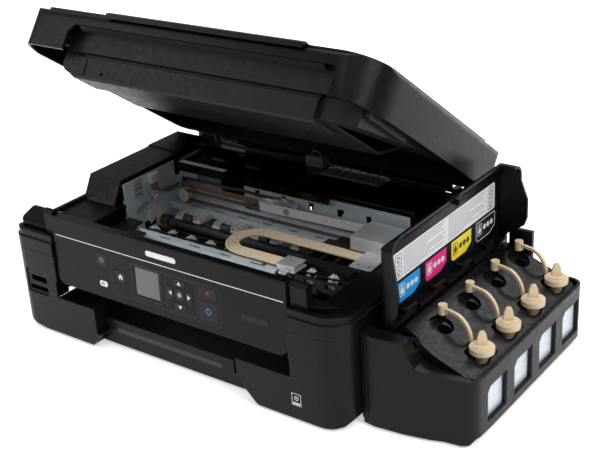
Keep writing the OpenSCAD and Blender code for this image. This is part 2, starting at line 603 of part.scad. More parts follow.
// local frame: x as the body, z up the face, y into the panel
module on_panel(x0, z0, x1, z1, r, y0, y1) translate([0, y1, 0]) rotate([90, 0, 0])
  linear_extrude(y1 - y0) polygon(outline(x0, z0 - panel_z, x1, z1 - panel_z, [r, r, r, r]));
btn = [["power", 114.5, 93.5, 125.5, 104.5], ["home", 137, 81.5, 149, 93], ["up", 208, 95.4, 222, 102.6], ["down", 208, 71.3, 222, 78.6],
  ["left", 200, 81, 207.2, 93.4], ["right", 222.8, 81, 230, 93.4], ["stop", 238, 92.5, 258, 103], ["start", 238, 71, 258, 89.5]];
function btn_of(n) = [for (b = btn) if (b[0] == n) b][0];
module control_panel() color(black) place() panel_at() difference() {
  union() {
    translate([0, panel_t, 0]) rotate([90, 0, 0]) linear_extrude(panel_t) polygon(panel_face);
    // pivot pins at the top ends
    rod_x(panel_x - 5, panel_x + panel_w + 5, panel_t - 3.4, panel_h - 4, 4, 24);
  }
  // hollow back
  box(panel_x + 2.6, 2.6, 2.6, panel_x + panel_w - 2.6, panel_t + 1, panel_h - 9);
  // chamfer along the top edge
  along_x([[-1, panel_h - 2.4], [1.8, panel_h + 1], [-1, panel_h + 1]], panel_x - 1, panel_x + panel_w + 1);
  on_panel(161.4, 74.2, 190.8, 102.6, 1, -1, 1.4);
  for (b = btn) on_panel(b[1] - 0.35, b[2] - 0.35, b[3] + 0.35, b[4] + 0.35, 1.5, -1, 4);
  translate([215, 0, 87.5 - panel_z]) rotate([90, 0, 0]) cylinder(h = 12, d = ok_d + 0.7, center = true, $fn = 40);
}

module lcd_screen() color([0.35, 0.34, 0.33]) place() panel_at() on_panel(161.8, 74.6, 190.4, 102.2, 0.8, 0.4, 1.3);

module key(n) place() panel_at() {
  b = btn_of(n);
  on_panel(b[1], b[2], b[3], b[4], 1.4, -0.2, 2.4);
  on_panel(b[1] - 0.8, b[2] - 0.8, b[3] + 0.8, b[4] + 0.8, 1.4, 4.2, 5);
  on_panel((b[1] + b[3])/2 - 1.5, (b[2] + b[4])/2 - 1.5, (b[1] + b[3])/2 + 1.5, (b[2] + b[4])/2 + 1.5, 0.6, 2.2, 4.4);
}
module power_button() color(grey) key("power");
module home_button() color(grey) key("home");
module up_button() color(grey) key("up");
module down_button() color(grey) key("down");
module left_button() color(grey) key("left");
module right_button() color(grey) key("right");
module stop_button() color(grey) key("stop");
module start_button() color(grey) key("start");
module ok_button() color(grey) place() panel_at() translate([215, 0, 87.5 - panel_z]) rotate([90, 0, 0]) {
  translate([0, 0, -2.4]) cylinder(h = 2.6, d = ok_d, $fn = 40);
  translate([0, 0, -4.4]) cylinder(h = 2.2, d = 4, $fn = 24);
  translate([0, 0, -5]) cylinder(h = 0.8, d = ok_d + 1.4, $fn = 40);
}

// ---- output tray ----
ext_x = tray_x + 15;
ext_w = 130;
module output_tray() color(black) place() difference() {
  union() {
    box(tray_x, 14, 21, tray_x + tray_w, 14 + tray_l, 24);
    box(tray_x, 12, 17.4, tray_x + tray_w, 15, 30.4);
    box(tray_x, 14, 23, tray_x + 3, 14 + tray_l, 27);
    box(tray_x + tray_w - 3, 14, 23, tray_x + tray_w, 14 + tray_l, 27);
    for (i = [0:5]) box(tray_x + 20 + i*23, 74, 23.9, tray_x + 22 + i*23, 10 + tray_l, 25);
  }
  // slot and pocket of the extension
  box(ext_x - 0.6, 10, 17, ext_x + ext_w + 0.6, 16, 22.7);
  box(ext_x - 0.6, 13, 20, ext_x + ext_w + 0.6, tray_l, 22.7);
}

module tray_extension() color(grey) place() difference() {
  union() {
    box(ext_x, 13, 20.2, ext_x + ext_w, 120, 22.3);
    box(ext_x, 12.2, 17.6, ext_x + ext_w, 14.6, 22.3);
  }
  box(ext_x + 42, 40, 19, ext_x + 88, 90, 23);
}

// ---- rear paper support and its sliding edge guide ----
module paper_support() color(black) place() union() {
  difference() {
    box(62, 291, 104.6, 328, 294, 144);
    for (i = [0:4]) box(78 + i*50, 290, 112, 88 + i*50, 292, 134);
    box(170, 290, 138, 220, 295, 145);
  }
  rod_x(60.4, 329.6, 292.5, 103, 5, 24);
  rod_x(56.8, 333.2, 292.5, 103, 4, 24);
}
module edge_guide() color(grey) place() difference() {
  union() {
    box(84, 270, 101.1, 87, 286, 116);
    box(80, 270, 101.1, 96, 286, 103.2);
  }
  box(83, 273, 106, 88, 283, 112);
}

// ---- ink tank unit ----
case_plan = concat([[390.6, 26.5], [404, 25], [430, 27.6], [452, 32], [464, 36]],
  arc(471.5, 54, 17.5, -70, 0, 8), [[tx + 0.5, 72]],
  arc(tx - 11.5, tank_y0 + 166.5 - 12, 12, 0, 90, 6), [[390.6, tank_y0 + 166.5]]);
case_in = concat([[393.4, 29.4], [404, 28], [430, 30.6], [451, 35], [463, 39]],
  arc(471, 54, 14.6, -65, 0, 8), [[tx - 2.2, 72]],
  arc(tx - 12, tank_y0 + 166.5 - 12.5, 9.8, 0, 90, 6), [[393.4, tank_y0 + 163.7]]);
case_top = [[380, 0], [380, 80], [402.6, 80], [404.5, 77], [409, 70], [416, 64], [426, 61.5], [500, 61.5], [500, 0]];
// the front wall stays high beside the body, then sweeps down to the ledge
front_top = [[380, 0], [380, 88.6], [426, 88.6], [430, 87.4], [433, 82], [436, 74], [440, 68.4], [446, 65.8], [456, 64.6], [500, 61.5], [500, 0]];
function wx(i) = 64.6 + i*tank_pitch;
module tank_case() color(black) place() difference() {
  union() {
    difference() {
      intersection() {
        plan(case_plan, 7, 120);
        union() {
          along_y(case_top, 40, 300);
          along_y(front_top, 0, 41);
        }
      }
      plan(case_in, 9.6, 130);
    }
    // shoulder and ledge between the front wall and the deck
    intersection() {
      plan(case_plan, 40, 120);
      difference() {
        along_y(front_top, 20, 45.9);
        translate([0, 0, -2.6]) along_y(front_top, 19, 47);
        box(380, 41.4, 70, 434.6, 50, 100);
      }
    }
    box(392, 39.2, 62, 432.6, 41.4, 88.6);
    // narrower plinth below the side walls
    intersection() {
      plan(case_plan, 2.4, 7.2);
      along_y([[392, 0], [392, 8], [488.4, 8], [484, 2.4], [484, 0]], 0, 300);
    }
    // rear hinge block
    box(404, 246.5, 58, 438, 250.8, 80.6);
    box(414.5, 246.5, 78, 438, 250.8, 100);
    // fixed knuckles of the cover hinge
    for (i = [0:3]) union() {
      rod_y(80.7 + i*47.5, 88 + i*47.5, cov_x, cov_z, 5, 24);
      box(405, 80.7 + i*47.5, 78, 409, 88 + i*47.5, 91);
    }
    // hinge shelf between the wall and the deck
    box(392, 76, 76.2, 409, 236, 78.6);
  }
  for (p = foot_at) rod_z(-1, 3.25, p[0], p[1], 14.3, 40);
  // sight windows
  for (i = [0:tank_n - 1]) along_x([[wx(i), 16.5], [wx(i), 42], [wx(i) + 4.5, 46.5], [wx(i) + 30, 46.5], [wx(i) + 30, 16.5]], tx - 6, tx + 3);
  // window frames set into the wall
  for (i = [0:tank_n - 1]) along_x([[wx(i) - 1.6, 15], [wx(i) - 1.6, 43], [wx(i) + 3.8, 48.4], [wx(i) + 31.6, 48.4], [wx(i) + 31.6, 15]], tx - 0.3, tx + 3);
  // tube pass-through from the printer body
  box(388, 120, 30, 395, 150, 44);
  // fine parting groove on the front
  box(396.6, 20, 9, 397.2, 28.2, 82);
}

function dz(x) = 78.4 - deck_slope*(x - 437);
function py(i) = tank_y0 + 1.1 + i*tank_pitch;
// tether posts beside the filler ports
post_x = 428.5;
post_dy = 11;
deck_top = concat([[409.2, dz(417) - 2], [414, dz(417)], [418, dz(418)]], [[484, dz(484)], [486, dz(484) - 1.6], [486, 52]]);
module deck_hollow() intersection() {
  along_y([[411.8, 50], [411.8, dz(417) - 4], [418, dz(418) - 2.8], [481, dz(481) - 2.8], [483.2, 50]], 48.6, 240.4);
  plan(outline(400, 48.6, 483.4, 240.4, [1, 11.4, 7.4, 1]), 40, 100);
}
module well_hollows() for (i = [0:tank_n - 1]) plan(outline(461.4, py(i) - 14.6, 480.4, py(i) + 12.6, [4, 2.5, 2.5, 8.6]), 55.4, 90);

module tank_deck() color([0.13, 0.13, 0.14]) place() difference() {
  union() {
    difference() {
      intersection() {
        along_y(concat([[409.2, 55]], deck_top), 46, 243);
        plan(outline(400, 46, 486, 243, [1, 14, 10, 1]), 40, 100);
        along_x(concat([[40, 40]], [[46, 50], [47, 66]], arc(56, 72, 9, 180, 100, 6), [[64, 100], [246, 100], [246, 40]]), 400, 490);
      }
      deck_hollow();
    }
    // pegs that carry the cap tethers
    for (i = [0:tank_n - 1]) rod_z(76, 83.4, post_x, py(i) + post_dy, 5.6, 24);
  }
  // recessed ring round each filler port
  for (i = [0:tank_n - 1]) translate([437, py(i), dz(437) + 10]) rotate([0, atan(deck_slope), 0]) cylinder(h = 23.4, d = cap_d + 0.6, center = true, $fn = 48);
  for (i = [0:tank_n - 1]) rod_z(50, 90, 437, py(i), port_d, 40);
  well_hollows();
}

module filler_necks() color([0.13, 0.13, 0.14]) place() for (i = [0:tank_n - 1]) difference() {
  intersection() {
    rod_z(58, 90, 437, py(i), port_d + 4.2, 40);
    deck_hollow();
  }
  rod_z(50, 90, 437, py(i), port_d, 40);
}

module cap_wells() color([0.13, 0.13, 0.14]) place() difference() {
  intersection() {
    union() for (i = [0:tank_n - 1]) plan(outline(459.2, py(i) - 17, 482.8, py(i) + 15, [6, 4, 4, 11]), 52, 80);
    deck_hollow();
  }
  well_hollows();
}

module ink_tanks() color([0.95, 0.96, 0.98, 0.8]) place() for (i = [0:tank_n - 1]) difference() {
  union() {
    box(412, wx(i) - 5.6, 10, 485.4, wx(i) + 35.4, 51);
    rod_z(50.5, 57.4, 437, py(i), port_d + 3, 32);
  }
  rod_z(20, 60, 437, py(i), 8, 32);
}

// ---- tank cover, drawn closed then folded open ----
cov_y0 = 42.6;
cov_y1 = 245.8;
cov_out = concat([[403, 90], [403, 96], [404.6, 98.4]], arc(469, 84.4, 14, 90, 0, 7), [[483, 71.4]]);
// lower edges of the cover: deep at the rear end, shallow in front
cov_rear = [[396, 87], [407, 87], [411, 84], [416, 76], [422, 68], [430, 65.4], [448, 65.4], [466, 72.4], [500, 72.4]];
cov_front = [[396, 87], [409, 86.4], [420, 82], [436, 80.4], [470, 85.6], [500, 86.4]];
module tank_cover() color(black) place() cover_at() difference() {
  union() {
    difference() {
      intersection() {
        along_y(concat(cov_out, [[479, 60], [420, 60], [403, 87]]), cov_y0, cov_y1);
        plan(outline(396, cov_y0, 483, cov_y1, [1, 12, 12, 1]), 50, 100);
        along_x(concat([[cov_y0, 50]], arc(cov_y0 + 6, 92.4, 6, 180, 90, 5), arc(cov_y1 - 6, 92.4, 6, 90, 0, 5), [[cov_y1, 50]]), 380, 500);
      }
      intersection() {
        along_y(concat([[405.4, 50], [405.4, 94.4], [406.6, 96.1]], arc(469, 84.4, 11.7, 90, 0, 6), [[480.7, 50]]), cov_y0 + 2.4, cov_y1 - 2.4);
        plan(outline(396, cov_y0 + 2.4, 480.7, cov_y1 - 2.4, [1, 9.7, 9.7, 1]), 40, 100);
      }
      // end walls dip toward the parting line, the long wall ends above the caps
      along_y(concat(cov_rear, [[500, 40], [396, 40]]), 150, 300);
      along_y(concat(cov_front, [[500, 40], [396, 40]]), 0, 150.1);
      box(466, cov_y0 + 14, 40, 500, cov_y1 - 14, 87.4);
    }
    // hinge leaf with ribs
    for (i = [0:3]) box(405, 66 + i*47.5, 88.4, 412, 68 + i*47.5, 96.4);
    box(405, 60, 88, 407, 235, 96.4);
    // knuckles on the hinge line
    for (i = [0:3]) union() {
      rod_y(72 + i*47.5, 80 + i*47.5, cov_x, cov_z, 5, 24);
      box(403.4, 72 + i*47.5, 90.4, 408, 80 + i*47.5, 96.2);
    }
    // latch hook in the middle of the free edge
    along_y([[482, 87], [482, 92], [477, 92], [475.6, 84.6], [478.6, 82], [481.4, 83]], 147, 156);
  }
  // notches that clear the fixed knuckles
  for (i = [0:3]) box(400, 80.3 + i*47.5, 78, 410.4, 88.4 + i*47.5, 95.2);
}

// ---- filler caps parked beside their ports ----
cap_x = 472.5;
module filler_cap(i) color(cream) place() translate([cap_x, py(i) - 1.6, 0]) union() {
  rod_z(66.4, 71.4, 0, 0, cap_d, 48);
  rod_z(71.3, 72.4, 0, 0, cap_d - 2.4, 48);
  rod_z(72.3, 73.4, 0, 0, cap_d - 6, 48);
  rod_z(57.4, 66.5, 0, 0, 10.6, 40);
  rod_z(60, 61.6, 0, 0, 11.6, 40);
  translate([0, 0, 73.3]) rotate([0, 0, 35]) rotate([90, 0, 0]) translate([0, 0, -1.7]) linear_extrude(3.4)
    polygon([[-5, -0.4], [-3.6, 8.6], [-2.2, 11.4], [0, 12.2], [2.2, 11.4], [3.6, 8.6], [5, -0.4]]);
}
module filler_cap_1() filler_cap(0);
module filler_cap_2() filler_cap(1);
module filler_cap_3() filler_cap(2);
module filler_cap_4() filler_cap(3);

module cap_tethers() color(cream) place() for (i = [0:tank_n - 1]) translate([post_x, py(i) + post_dy, 0]) union() {
  rod_z(83.7, 92.6, 0, 0, 8, 32);
  rotate([0, 0, atan2(-post_dy - 1.6, cap_x - post_x)]) translate([0, 1.4, 0]) rotate([90, 0, 0]) linear_extrude(2.8)
    polygon(concat([[2, 89.8], [8.6, 90.6]], arc(15, 71, 19.6, 98, 0, 12), [[34.6, 70.2], [31.8, 70.2]], arc(15, 71, 16.8, 0, 98, 12), [[8.6, 87.8], [2, 87]]));
}

base_case();
upper_housing();
rear_deck();
chassis();
carriage_rail();
front_rail();
platen();
roller_holders();
feed_roller();
eject_roller();
pinch_rollers();
drive_belt();
idler_pulley();
motor_pulley();
carriage_motor();
encoder_strip();
print_carriage();
ink_tubes();
tube_clamp();
ribbon_cable();
carriage_bay_cover();
side_duct();
power_supply();
main_board();
feed_motor();
waste_ink_pad();
rubber_feet();
chassis_screws();
rear_sockets();
scanner_shell();
scanner_tray();
scanner_glass();
scanner_hinges();
scan_head();
document_cover();
document_pad();
control_panel();
lcd_screen();
power_button();
home_button();
up_button();
down_button();
left_button();
right_button();
ok_button();
stop_button();
start_button();
output_tray();
tray_extension();
paper_support();
edge_guide();
tank_case();
tank_deck();
filler_necks();
cap_wells();
ink_tanks();
tank_cover();
filler_cap_1();
filler_cap_2();
filler_cap_3();
filler_cap_4();
cap_tethers();
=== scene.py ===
import math

import bmesh
import bpy
from mathutils import Matrix, Vector


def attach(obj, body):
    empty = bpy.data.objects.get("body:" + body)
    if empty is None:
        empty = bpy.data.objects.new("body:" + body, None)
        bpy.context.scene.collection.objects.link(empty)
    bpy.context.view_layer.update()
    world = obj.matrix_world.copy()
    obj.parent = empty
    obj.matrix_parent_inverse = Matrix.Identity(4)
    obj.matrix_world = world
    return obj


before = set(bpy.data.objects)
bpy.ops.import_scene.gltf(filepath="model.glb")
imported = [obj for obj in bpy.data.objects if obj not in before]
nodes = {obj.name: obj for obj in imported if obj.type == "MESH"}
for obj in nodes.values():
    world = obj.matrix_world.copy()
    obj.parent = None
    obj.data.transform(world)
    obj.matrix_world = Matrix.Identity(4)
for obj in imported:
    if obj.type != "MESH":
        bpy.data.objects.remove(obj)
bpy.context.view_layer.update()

MM = 0.001
ORIGIN = Vector((244.75, 150.0, 0.0))  # the CAD's own corner frame, mm
SCAN_PIVOT = Vector((0, 290.4, 120.9))
COVER_PIVOT = Vector((407, 0, 92))
BODY = Matrix.Scale(MM, 4) @ Matrix.Translation(-ORIGIN)


def turned(pivot, angle, axis):
    return (BODY @ Matrix.Translation(pivot) @ Matrix.Rotation(math.radians(angle), 4, axis)
            @ Matrix.Translation(-pivot))


PANEL = BODY @ Matrix.Translation((0, 2, 60)) @ Matrix.Rotation(math.radians(-2), 4, "X") \
    @ Matrix.Translation((0, 0, -60))
SCAN = turned(SCAN_PIVOT, -36, "X")
COVER = turned(COVER_PIVOT, -90, "Y")

# ---------------------------------------------------------------- camera
camera = bpy.data.objects.new("camera", bpy.data.cameras.new("camera"))
bpy.context.scene.collection.objects.link(camera)
SENSOR = 36.0
FOCAL_PIXELS, PICTURE_WIDTH = 1182.1, 600
EYE = Vector((0.62315, -0.8191, 0.5747))
camera.data.sensor_width = SENSOR
camera.data.lens = FOCAL_PIXELS / PICTURE_WIDTH * SENSOR
camera.data.clip_start, camera.data.clip_end = 0.02, 40
yaw, pitch, roll = (math.radians(a) for a in (37.4, 24.6, -3.5))
ahead = Vector((-math.sin(yaw) * math.cos(pitch), math.cos(yaw) * math.cos(pitch), -math.sin(pitch)))
right = Vector((math.cos(yaw), math.sin(yaw), 0))
up = right.cross(ahead)
right, up = right * math.cos(roll) + up * math.sin(roll), up * math.cos(roll) - right * math.sin(roll)
camera.matrix_world = Matrix((
    (right.x, up.x, -ahead.x, EYE.x), (right.y, up.y, -ahead.y, EYE.y),
    (right.z, up.z, -ahead.z, EYE.z), (0, 0, 0, 1)))
bpy.context.scene.camera = camera


# ---------------------------------------------------------------- materials
def material(name, colour, rough, grain=1400, depth=0.25, spread=0.1, metal=0.0, edge=0.00045,
             wear=0.35, stretch=(1, 1, 1), spec=0.5, coat=0.0, transmission=0.0, sheen=0.0,
             ior=1.5, patch=26, rough_spread=0.07):
    """Moulded or metal finish: grain bump over rounded edges, patchy tone and roughness, rubbed edges."""
    m = bpy.data.materials.new(name)
    m.use_nodes = True
    nt = m.node_tree
    nt.nodes.clear()
    new, link = nt.nodes.new, nt.links.new
    out = new("ShaderNodeOutputMaterial")
    bsdf = new("ShaderNodeBsdfPrincipled")
    link(bsdf.outputs[0], out.inputs[0])
    coord = new("ShaderNodeTexCoord")
    scale = new("ShaderNodeMapping")
    scale.inputs["Scale"].default_value = stretch
    link(coord.outputs["Object"], scale.inputs["Vector"])
    fine, broad, cloud = (new("ShaderNodeTexNoise") for _ in range(3))
    for tex, size, detail in ((fine, grain, 3), (broad, patch, 4), (cloud, patch * 7, 3)):
        tex.inputs["Scale"].default_value = size
        tex.inputs["Detail"].default_value = detail
        link(scale.outputs[0], tex.inputs["Vector"])
    # rounded edges and the mask of where they are
    bevel = new("ShaderNodeBevel")
    bevel.samples = 4
    bevel.inputs["Radius"].default_value = edge
    bump = new("ShaderNodeBump")
    bump.inputs["Strength"].default_value = depth
    bump.inputs["Distance"].default_value = 0.0002
    link(fine.outputs[0], bump.inputs["Height"])
    link(bevel.outputs[0], bump.inputs["Normal"])
    link(bump.outputs[0], bsdf.inputs["Normal"])
    geo = new("ShaderNodeNewGeometry")
    dot = new("ShaderNodeVectorMath")
    dot.operation = "DOT_PRODUCT"
    link(bevel.outputs[0], dot.inputs[0])
    link(geo.outputs["Normal"], dot.inputs[1])
    rub = new("ShaderNodeMapRange")
    for key, value in (("From Min", 0.995), ("From Max", 0.8), ("To Min", 0.0), ("To Max", wear)):
        rub.inputs[key].default_value = value
    link(dot.outputs["Value"], rub.inputs["Value"])
    tone = new("ShaderNodeMapRange")
    for key, value in (("From Min", 0.3), ("From Max", 0.7), ("To Min", 0.0), ("To Max", 1.0)):
        tone.inputs[key].default_value = value
    link(broad.outputs[0], tone.inputs["Value"])
    base = new("ShaderNodeMix")
    base.data_type = "RGBA"
    link(tone.outputs[0], base.inputs["Factor"])
    base.inputs["A"].default_value = [c * (1 - spread) for c in colour] + [1]
    base.inputs["B"].default_value = [min(1, c * (1 + spread)) for c in colour] + [1]
    worn = new("ShaderNodeMix")
    worn.data_type = "RGBA"
    link(rub.outputs[0], worn.inputs["Factor"])
    link(base.outputs["Result"], worn.inputs["A"])
    worn.inputs["B"].default_value = [min(1, c * 1.5 + 0.02) for c in colour] + [1]
    link(worn.outputs["Result"], bsdf.inputs["Base Color"])
    gloss = new("ShaderNodeMapRange")
    for key, value in (("From Min", 0.3), ("From Max", 0.7), ("To Min", max(0.02, rough - rough_spread)),
                       ("To Max", min(1, rough + rough_spread))):
        gloss.inputs[key].default_value = value
    link(cloud.outputs[0], gloss.inputs["Value"])
    link(gloss.outputs[0], bsdf.inputs["Roughness"])
    for key, value in (("Metallic", metal), ("Specular IOR Level", spec), ("Coat Weight", coat),
                       ("Transmission Weight", transmission), ("Sheen Weight", sheen), ("IOR", ior)):
        bsdf.inputs[key].default_value = value
    if coat:
        bsdf.inputs["Coat Roughness"].default_value = 0.08
    m.diffuse_color = list(colour) + [1]
    return m


MAT = {
    "case": material("case_plastic", (0.0034, 0.0035, 0.0039), 0.34, grain=1150, depth=0.26, spec=0.15,
                     spread=0.05, edge=0.0011),
    "shell": material("shell_plastic", (0.0034, 0.0036, 0.0042), 0.32, grain=1000, depth=0.26, spec=0.15,
                      spread=0.05),
    "panel": material("panel_plastic", (0.0032, 0.0033, 0.0037), 0.3, grain=1700, depth=0.12, spec=0.14,
                      spread=0.04),
    "under": material("inner_plastic", (0.006, 0.0063, 0.0073), 0.42, grain=900, depth=0.4, spec=0.2,
                      spread=0.05),
    "deck": material("tank_deck_plastic", (0.0034, 0.0036, 0.0042), 0.28, grain=1200, depth=0.22, spec=0.15,
                     spread=0.05),
    "gloss": material("gloss_plastic", (0.002, 0.002, 0.0022), 0.12, grain=240, depth=0.03, spec=0.25,
                      rough_spread=0.03, wear=0.0, edge=0.00005),
    "mech": material("mechanism_plastic", (0.0085, 0.0085, 0.0092), 0.38, grain=1600, depth=0.2, spec=0.4),
    "key": material("key_plastic", (0.0048, 0.0049, 0.0054), 0.28, grain=2200, depth=0.12, spec=0.22),
    "steel": material("zinc_sheet", (0.72, 0.81, 0.87), 0.42, grain=700, depth=0.1, metal=0.3, spread=0.06,
                      wear=0.5, patch=75, rough_spread=0.1),
    "bright": material("silver_cover", (0.68, 0.7, 0.72), 0.33, grain=1300, depth=0.15, metal=0.5),
    "motor": material("turned_steel", (0.5, 0.51, 0.53), 0.3, grain=700, depth=0.2, metal=1.0,
                      stretch=(1, 0.1, 1)),
    "brass": material("brass", (0.72, 0.52, 0.22), 0.28, grain=900, depth=0.15, metal=1.0),
    "belt": material("belt_rubber", (0.16, 0.09, 0.055), 0.6, grain=1900, depth=0.5),
    "strip": material("encoder_film", (0.2, 0.13, 0.085), 0.2, grain=500, depth=0.05),
    "rubber_mid": material("roller_rubber", (0.05, 0.05, 0.052), 0.6, grain=1800, depth=0.5),
    "rubber": material("foot_rubber", (0.012, 0.012, 0.012), 0.8, grain=1300, depth=0.6),
    "white": material("white_plastic", (0.7, 0.71, 0.68), 0.34, grain=1500, depth=0.1, spread=0.03),
    "cable": material("ribbon_film", (0.86, 0.87, 0.88), 0.3, grain=700, depth=0.1, spread=0.03),
    "cream": material("cream_cap", (0.63, 0.495, 0.325), 0.34, grain=1600, depth=0.08, spread=0.02),
    "tube": material("ink_tube", (0.86, 0.7, 0.5), 0.24, grain=1500, depth=0.03, spread=0.015),
    "pad": material("cover_pad", (0.78, 0.78, 0.76), 0.85, grain=1500, depth=0.9, spread=0.03, sheen=0.3),
    "felt": material("felt", (0.4, 0.39, 0.37), 0.95, grain=1300, depth=1.0, sheen=0.4),
    "board": material("circuit_board", (0.018, 0.16, 0.075), 0.32, grain=420, depth=0.35, coat=0.3, patch=90),
    "screen": material("display_glass", (0.105, 0.1, 0.093), 0.12, grain=300, depth=0.01, spread=0.2,
                       patch=9, rough_spread=0.03),
    "glass": material("scanner_glass", (0.83, 0.9, 0.9), 0.03, grain=300, depth=0.01, transmission=0.92,
                      rough_spread=0.015, ior=1.46, wear=0.0),
    "clear": material("clear_film", (0.75, 0.78, 0.8), 0.12, grain=300, depth=0.02, transmission=0.8,
                      rough_spread=0.03, wear=0.0, edge=0.0001),
    "tank": material("tank_plastic", (0.6, 0.645, 0.71), 0.3, grain=1400, depth=0.04, spread=0.015),
    "print_white": material("printed_white", (0.7, 0.71, 0.72), 0.5, grain=2000, depth=0.08, wear=0.0,
                            edge=0.0001),
    "print_grey": material("printed_grey", (0.3, 0.305, 0.31), 0.5, grain=2000, depth=0.08, wear=0.0,
                           edge=0.0001),
    "print_faint": material("printed_faint", (0.02, 0.021, 0.023), 0.45, grain=2000, depth=0.08, wear=0.0,
                            edge=0.0001),
    "print_dark": material("printed_dark", (0.008, 0.008, 0.009), 0.4, grain=2000, depth=0.08, wear=0.0,
                           edge=0.0001),
    "badge": material("badge_silver", (0.62, 0.63, 0.65), 0.28, grain=1500, depth=0.1, metal=0.6, edge=0.0002),
    "label": material("label_paper", (0.68, 0.69, 0.71), 0.48, grain=1500, depth=0.18, wear=0.1, edge=0.0001,
                      spread=0.03),
    "cyan": material("tag_cyan", (0.0, 0.27, 0.66), 0.42, grain=1500, depth=0.12, wear=0.1, edge=0.0001),
    "magenta": material("tag_magenta", (0.68, 0.012, 0.2), 0.42, grain=1500, depth=0.12, wear=0.1,
                        edge=0.0001),
    "yellow": material("tag_yellow", (0.8, 0.64, 0.01), 0.42, grain=1500, depth=0.12, wear=0.1, edge=0.0001),
    "red": material("icon_red", (0.5, 0.05, 0.03), 0.4, grain=1800, depth=0.1, wear=0.0, edge=0.0001),
    "blue": material("icon_blue", (0.02, 0.27, 0.6), 0.4, grain=1800, depth=0.1, wear=0.0, edge=0.0001),
    "screw": material("screw_steel", (0.36, 0.36, 0.37), 0.32, grain=900, depth=0.2, metal=1.0),
    "wire": material("wire_grey", (0.22, 0.23, 0.25), 0.45, grain=1200, depth=0.2),
    "clip": material("clip_grey", (0.12, 0.125, 0.135), 0.42, grain=1200, depth=0.25),
}

NODE_MATERIALS = {
    "case": "base_case upper_housing tank_case paper_support output_tray",
    "shell": "scanner_shell document_cover tank_cover",
    "panel": "control_panel",
    "under": "scanner_tray",
    "deck": "tank_deck filler_necks cap_wells",
    "gloss": "rear_deck",
    "mech": "platen print_carriage side_duct scanner_hinges tray_extension edge_guide scan_head "
            "rear_sockets power_supply",
    "key": "power_button home_button up_button down_button left_button right_button ok_button "
           "stop_button start_button",
    "steel": "chassis carriage_rail front_rail",
    "bright": "carriage_bay_cover tube_clamp",
    "motor": "carriage_motor feed_motor",
    "screw": "chassis_screws",
    "brass": "motor_pulley",
    "belt": "drive_belt",
    "strip": "encoder_strip",
    "rubber_mid": "feed_roller eject_roller pinch_rollers",
    "rubber": "rubber_feet",
    "white": "roller_holders idler_pulley",
    "cable": "ribbon_cable",
    "cream": "filler_cap_1 filler_cap_2 filler_cap_3 filler_cap_4 cap_tethers",
    "tube": "ink_tubes",
    "pad": "document_pad",
    "felt": "waste_ink_pad",
    "board": "main_board",
    "screen": "lcd_screen",
    "glass": "scanner_glass",
    "tank": "ink_tanks",
}

CAD_SHARP = math.radians(24)  # edges bent more than this stay sharp
PIECE_SHARP = math.radians(32)


def smooth_group():
    """Joins split corners and shades facets of one curved wall as one surface."""
    g = bpy.data.node_groups.new("smooth_by_angle", "GeometryNodeTree")
    g.interface.new_socket("Geometry", in_out="INPUT", socket_type="NodeSocketGeometry")
    g.interface.new_socket("Geometry", in_out="OUTPUT", socket_type="NodeSocketGeometry")
    new, link = g.nodes.new, g.links.new
    start, end = new("NodeGroupInput"), new("NodeGroupOutput")
    weld = new("GeometryNodeMergeByDistance")
    weld.inputs["Distance"].default_value = 1e-6
    drop = new("GeometryNodeRemoveAttribute")
    drop.inputs["Name"].default_value = "custom_normal"
    faces, edges = new("GeometryNodeSetShadeSmooth"), new("GeometryNodeSetShadeSmooth")
    edges.domain = "EDGE"
    edges.inputs["Shade Smooth"].default_value = False
    angle = new("GeometryNodeInputMeshEdgeAngle")
    sharp = new("FunctionNodeCompare")
    sharp.data_type, sharp.operation = "FLOAT", "GREATER_THAN"
    sharp.inputs["B"].default_value = CAD_SHARP
    link(angle.outputs["Unsigned Angle"], sharp.inputs["A"])
    link(start.outputs[0], weld.inputs[0])
    link(weld.outputs[0], drop.inputs[0])
    link(drop.outputs[0], faces.inputs[0])
    link(faces.outputs[0], edges.inputs[0])
    link(sharp.outputs[0], edges.inputs["Selection"])
    link(edges.outputs[0], end.inputs[0])
    return g


SMOOTH = smooth_group()
for key, names in NODE_MATERIALS.items():
    for name in names.split():
        node = nodes[name]
        node.data.materials.clear()
        node.data.materials.append(MAT[key])
        node.modifiers.new("smooth", "NODES").node_group = SMOOTH


